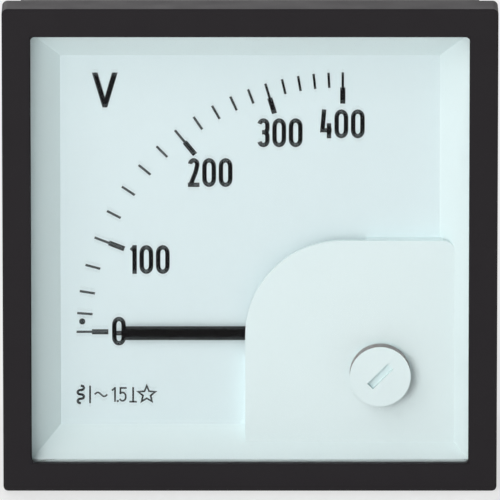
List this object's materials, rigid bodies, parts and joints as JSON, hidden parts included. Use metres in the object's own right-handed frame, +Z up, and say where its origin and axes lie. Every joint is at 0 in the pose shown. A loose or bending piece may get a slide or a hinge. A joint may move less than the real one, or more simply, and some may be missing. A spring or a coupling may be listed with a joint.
{
  "type": "panel voltmeter",
  "caption": "Square analog panel voltmeter: dark bezel, white quadrant dial from 0 to 400 V, black bar pointer, moving-iron movement, zero screw and rear stud terminals.",
  "frame": {"origin": "centre of the bezel's seat, in the plane of the panel's front face", "axes": "+X to the right seen from the front, +Y into the panel, +Z up"},
  "size_m": [0.072, 0.0656, 0.072],
  "materials": {
    "bezel_plastic": "satin",
    "case_plastic": "satin",
    "clear_pane": "polished",
    "white_plastic": "satin",
    "dial_paint": "matte",
    "dial_ink": "matte",
    "pointer_paint": "satin",
    "screw_plastic": "satin",
    "brass": "satin",
    "spring_bronze": "satin",
    "steel": "satin",
    "soft_iron": "matte",
    "spring_steel": "satin",
    "ruby": "polished",
    "bobbin_plastic": "matte",
    "enamelled_wire": "gloss",
    "frame_metal": "satin",
    "tinned_tag": "satin",
    "resistor_ceramic": "matte",
    "lead_sheath": "satin"
  },
  "bodies": {
    "housing": {"bezel": "bezel_plastic", "window_pane": "clear_pane", "dial_surround": "white_plastic", "dial_plate": "dial_paint", "scale_marks": "dial_ink", "front_bridge": "brass", "front_jewel_screw": "brass", "rear_jewel_screw": "brass", "jewel_lock_nut": "brass", "jewels": "ruby", "coil_bobbin": "bobbin_plastic", "coil_winding": "enamelled_wire", "coil_lugs": "brass", "fixed_iron": "soft_iron", "movement_frame": "frame_metal", "movement_screws": "steel", "rear_case": "case_plastic", "terminal_studs": "brass", "solder_tags": "tinned_tag", "fixing_nuts": "brass", "clamp_washers": "steel", "spring_washers": "spring_steel", "clamp_nuts": "brass", "series_resistor": "resistor_ceramic", "coil_leads": "lead_sheath"},
    "needle": {"pointer": "pointer_paint", "pointer_hub": "brass", "balance_weights": "brass", "spindle": "steel", "moving_iron": "soft_iron"},
    "adjuster": {"zero_screw": "screw_plastic"},
    "lever": {"zero_lever": "brass", "hairspring": "spring_bronze"}
  },
  "joints": [
    {"name": "pointer_turn", "type": "hinge", "parent": "housing", "child": "needle", "pos_m": [0.0135, 0, -0.0138], "axis": [0, 1, 0], "range_deg": [-3, 94], "stiffness_Nm_per_rad": 0.00006, "deforming": ["hairspring"]},
    {"name": "zero_turn", "type": "hinge", "parent": "housing", "child": "adjuster", "pos_m": [0.019, 0, -0.0193], "axis": [0, 1, 0], "range_deg": [-30, 30]},
    {"name": "lever_turn", "type": "hinge", "parent": "housing", "child": "lever", "pos_m": [0.0135, 0, -0.0138], "axis": [0, 1, 0], "range_deg": [-4.11, 4.11]}
  ],
  "couplings": [
    {"joint": "lever_turn", "follows": "zero_turn", "ratio": 0.13366}
  ]
}
